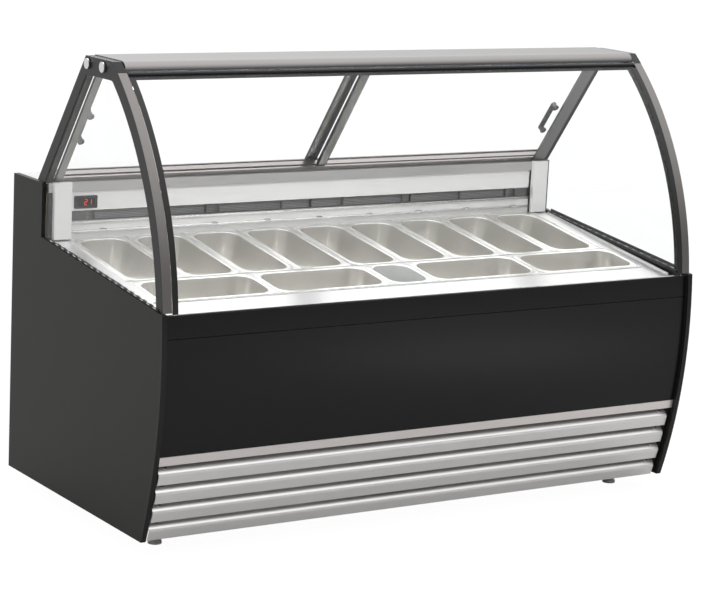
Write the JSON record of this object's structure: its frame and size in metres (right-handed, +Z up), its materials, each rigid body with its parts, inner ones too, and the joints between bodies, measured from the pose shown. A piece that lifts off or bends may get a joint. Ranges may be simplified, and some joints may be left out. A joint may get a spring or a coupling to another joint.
{
  "type": "curved glass ice cream display freezer",
  "caption": "Serve-over ice cream display freezer with curved lift-up front glass, sliding rear doors and lift-out steel pans on a sloping deck.",
  "frame": {"origin": "on the floor, under the middle of the cabinet", "axes": "+X along the counter to the right as seen by a customer, +Y from the customer to the server side, +Z up"},
  "size_m": [1.75, 0.91, 1.28],
  "materials": {
    "black_panel": "satin",
    "side_black": "satin",
    "trim_black": "gloss",
    "stainless": "brushed",
    "stainless_strip": "brushed",
    "pan_steel": "satin",
    "aluminium_grey": "satin",
    "frame_black": "satin",
    "glass": "clear",
    "gasket": "matte",
    "chrome": "polished",
    "dark_plastic": "matte",
    "lamp": "satin",
    "foam": "matte",
    "galvanised": "satin",
    "machine_black": "gloss",
    "fan_plastic": "satin"
  },
  "bodies": {
    "cabinet": {"base_frame": "galvanised", "left_side_panel": "side_black", "right_side_panel": "side_black", "edge_trims": "trim_black", "front_fascia": "black_panel", "front_panel": "black_panel", "front_strip": "stainless_strip", "louvre_slats": "stainless", "louvre_brackets": "frame_black", "louvre_screws": "chrome", "rear_panel": "galvanised", "rear_worktop": "stainless", "tank_liner": "stainless", "tank_insulation": "foam", "deck_frame": "stainless", "pan_support_bars": "stainless", "rear_duct_panel": "stainless", "air_grille": "dark_plastic", "temperature_display": "dark_plastic", "corner_posts": "stainless", "side_glass": "glass", "end_frames": "frame_black", "arch_strips": "aluminium_grey", "glass_studs": "chrome", "canopy_profile": "aluminium_grey", "led_strip": "lamp", "glass_hinge_pins": "chrome", "end_posts": "aluminium_grey", "door_tracks": "aluminium_grey", "glass_gaskets": "gasket", "compressor": "machine_black", "condenser": "galvanised", "evaporator": "galvanised"},
    "glass_leaf": {"front_glass": "glass", "front_glass_rail": "frame_black"},
    "left_sliding_door": {"left_door": "glass", "left_door_fittings": "chrome"},
    "right_sliding_door": {"right_door": "glass", "right_door_fittings": "chrome"},
    "switch_rocker": {"light_switch": "dark_plastic"},
    "condenser_rotor": {"condenser_fan": "fan_plastic"},
    "evaporator_rotor": {"evaporator_fan": "fan_plastic"},
    "levelling_foot_front_left": {"foot_front_left": "chrome"},
    "levelling_foot_front_right": {"foot_front_right": "chrome"},
    "levelling_foot_back_left": {"foot_back_left": "chrome"},
    "levelling_foot_back_right": {"foot_back_right": "chrome"},
    "rear_pan_1_body": {"rear_pan_1": "pan_steel"},
    "rear_pan_2_body": {"rear_pan_2": "pan_steel"},
    "rear_pan_3_body": {"rear_pan_3": "pan_steel"},
    "rear_pan_4_body": {"rear_pan_4": "pan_steel"},
    "rear_pan_5_body": {"rear_pan_5": "pan_steel"},
    "rear_pan_6_body": {"rear_pan_6": "pan_steel"},
    "rear_pan_7_body": {"rear_pan_7": "pan_steel"},
    "rear_pan_8_body": {"rear_pan_8": "pan_steel"},
    "rear_pan_9_body": {"rear_pan_9": "pan_steel"},
    "front_pan_1_body": {"front_pan_1": "pan_steel"},
    "front_pan_2_body": {"front_pan_2": "pan_steel"},
    "small_pan_body": {"small_pan": "pan_steel"},
    "front_pan_3_body": {"front_pan_3": "pan_steel"},
    "front_pan_4_body": {"front_pan_4": "pan_steel"}
  },
  "joints": [
    {"name": "front_glass_lift", "type": "hinge", "parent": "cabinet", "child": "glass_leaf", "pos_m": [0, -0.15601, 1.24665], "axis": [-1, 0, 0], "range_deg": [0, 60]},
    {"name": "left_door_slide", "type": "slide", "parent": "cabinet", "child": "left_sliding_door", "axis": [1, 0, 0], "range_m": [0, 0.74]},
    {"name": "right_door_slide", "type": "slide", "parent": "cabinet", "child": "right_sliding_door", "axis": [-1, 0, 0], "range_m": [0, 0.74]},
    {"name": "light_switch_rock", "type": "hinge", "parent": "cabinet", "child": "switch_rocker", "pos_m": [0.71, 0.4445, 0.795], "axis": [1, 0, 0], "range_deg": [-10, 10]},
    {"name": "condenser_fan_spin", "type": "hinge", "parent": "cabinet", "child": "condenser_rotor", "pos_m": [0.03, -0.195, 0.196], "axis": [0, 1, 0], "continuous": true},
    {"name": "evaporator_fan_spin", "type": "hinge", "parent": "cabinet", "child": "evaporator_rotor", "pos_m": [0, 0.336, 0.722], "axis": [0, 1, 0], "continuous": true},
    {"name": "foot_level_front_left", "type": "slide", "parent": "cabinet", "child": "levelling_foot_front_left", "axis": [0, 0, -1], "range_m": [0, 0.02]},
    {"name": "foot_level_front_right", "type": "slide", "parent": "cabinet", "child": "levelling_foot_front_right", "axis": [0, 0, -1], "range_m": [0, 0.02]},
    {"name": "foot_level_back_left", "type": "slide", "parent": "cabinet", "child": "levelling_foot_back_left", "axis": [0, 0, -1], "range_m": [0, 0.02]},
    {"name": "foot_level_back_right", "type": "slide", "parent": "cabinet", "child": "levelling_foot_back_right", "axis": [0, 0, -1], "range_m": [0, 0.02]},
    {"name": "front_pan_1_lift", "type": "slide", "parent": "cabinet", "child": "front_pan_1_body", "axis": [0, -0.1392, 0.9903], "range_m": [0, 0.15]},
    {"name": "front_pan_2_lift", "type": "slide", "parent": "cabinet", "child": "front_pan_2_body", "axis": [0, -0.1392, 0.9903], "range_m": [0, 0.15]},
    {"name": "small_pan_lift", "type": "slide", "parent": "cabinet", "child": "small_pan_body", "axis": [0, -0.1392, 0.9903], "range_m": [0, 0.15]},
    {"name": "front_pan_3_lift", "type": "slide", "parent": "cabinet", "child": "front_pan_3_body", "axis": [0, -0.1392, 0.9903], "range_m": [0, 0.15]},
    {"name": "front_pan_4_lift", "type": "slide", "parent": "cabinet", "child": "front_pan_4_body", "axis": [0, -0.1392, 0.9903], "range_m": [0, 0.15]},
    {"name": "rear_pan_1_lift", "type": "slide", "parent": "cabinet", "child": "rear_pan_1_body", "axis": [0, -0.1392, 0.9903], "range_m": [0, 0.15]},
    {"name": "rear_pan_2_lift", "type": "slide", "parent": "cabinet", "child": "rear_pan_2_body", "axis": [0, -0.1392, 0.9903], "range_m": [0, 0.15]},
    {"name": "rear_pan_3_lift", "type": "slide", "parent": "cabinet", "child": "rear_pan_3_body", "axis": [0, -0.1392, 0.9903], "range_m": [0, 0.15]},
    {"name": "rear_pan_4_lift", "type": "slide", "parent": "cabinet", "child": "rear_pan_4_body", "axis": [0, -0.1392, 0.9903], "range_m": [0, 0.15]},
    {"name": "rear_pan_5_lift", "type": "slide", "parent": "cabinet", "child": "rear_pan_5_body", "axis": [0, -0.1392, 0.9903], "range_m": [0, 0.15]},
    {"name": "rear_pan_6_lift", "type": "slide", "parent": "cabinet", "child": "rear_pan_6_body", "axis": [0, -0.1392, 0.9903], "range_m": [0, 0.15]},
    {"name": "rear_pan_7_lift", "type": "slide", "parent": "cabinet", "child": "rear_pan_7_body", "axis": [0, -0.1392, 0.9903], "range_m": [0, 0.15]},
    {"name": "rear_pan_8_lift", "type": "slide", "parent": "cabinet", "child": "rear_pan_8_body", "axis": [0, -0.1392, 0.9903], "range_m": [0, 0.15]},
    {"name": "rear_pan_9_lift", "type": "slide", "parent": "cabinet", "child": "rear_pan_9_body", "axis": [0, -0.1392, 0.9903], "range_m": [0, 0.15]}
  ]
}
